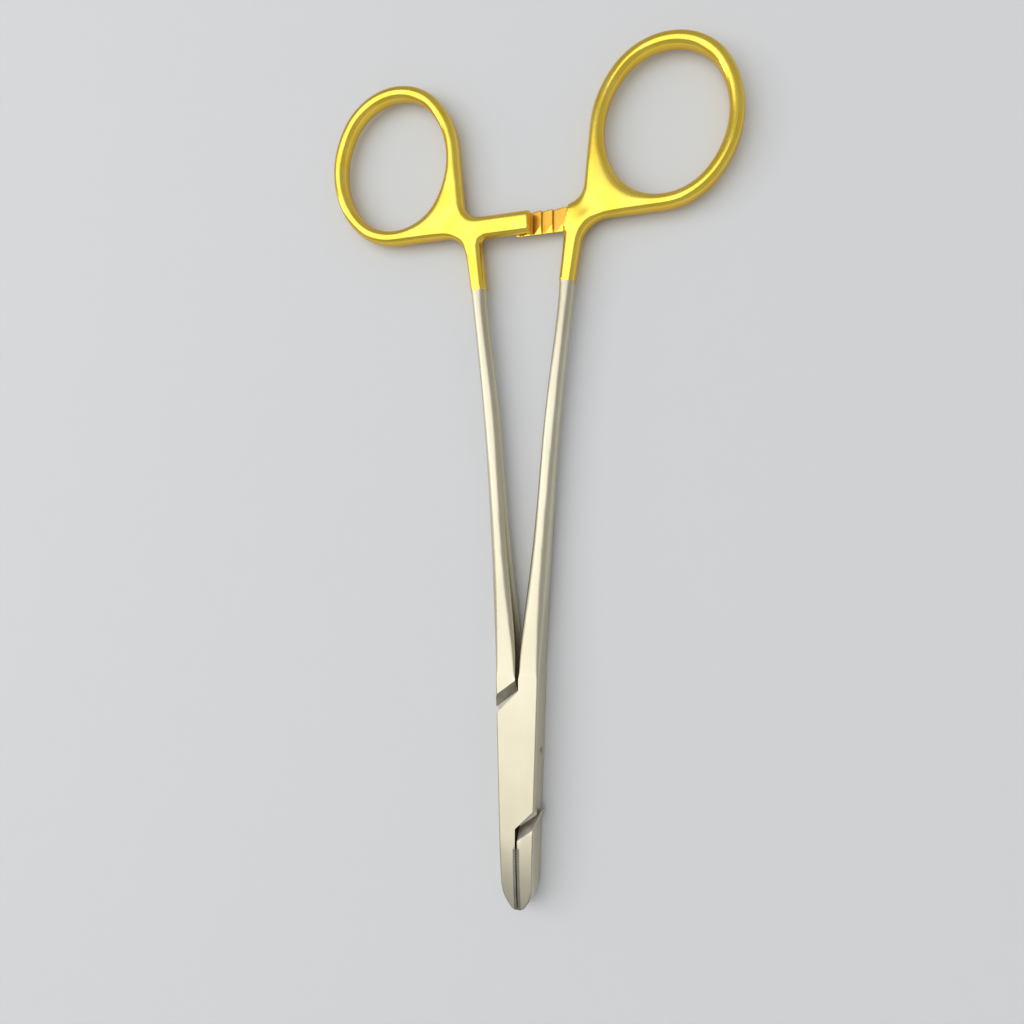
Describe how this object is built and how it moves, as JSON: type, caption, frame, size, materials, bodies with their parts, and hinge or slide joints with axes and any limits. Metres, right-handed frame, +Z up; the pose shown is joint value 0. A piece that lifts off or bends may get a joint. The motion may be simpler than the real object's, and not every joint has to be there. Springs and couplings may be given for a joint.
{
  "type": "surgical needle holder",
  "caption": "Scissor-like needle holder with finger rings, a ratchet, a box lock and short straight jaws with hard grip inserts.",
  "frame": {"origin": "on the pivot's axis, at the lower face of the box lock", "axes": "+Y from the pivot towards the finger rings, +X towards the ring of the female half, +Z up along the pivot's axis"},
  "size_m": [0.0782, 0.1514, 0.0054],
  "materials": {
    "steel": "satin stainless steel",
    "carbide": "fine ground hard metal"
  },
  "bodies": {
    "female": {"female_half": "steel", "pivot_pin": "steel", "female_insert": "carbide"},
    "male": {"male_half": "steel", "male_insert": "carbide"}
  },
  "joints": [
    {"name": "box_lock", "type": "hinge", "parent": "female", "child": "male", "pos_m": [0, 0, 0.0027], "axis": [0, 0, 1], "range_deg": [0, 50]}
  ]
}
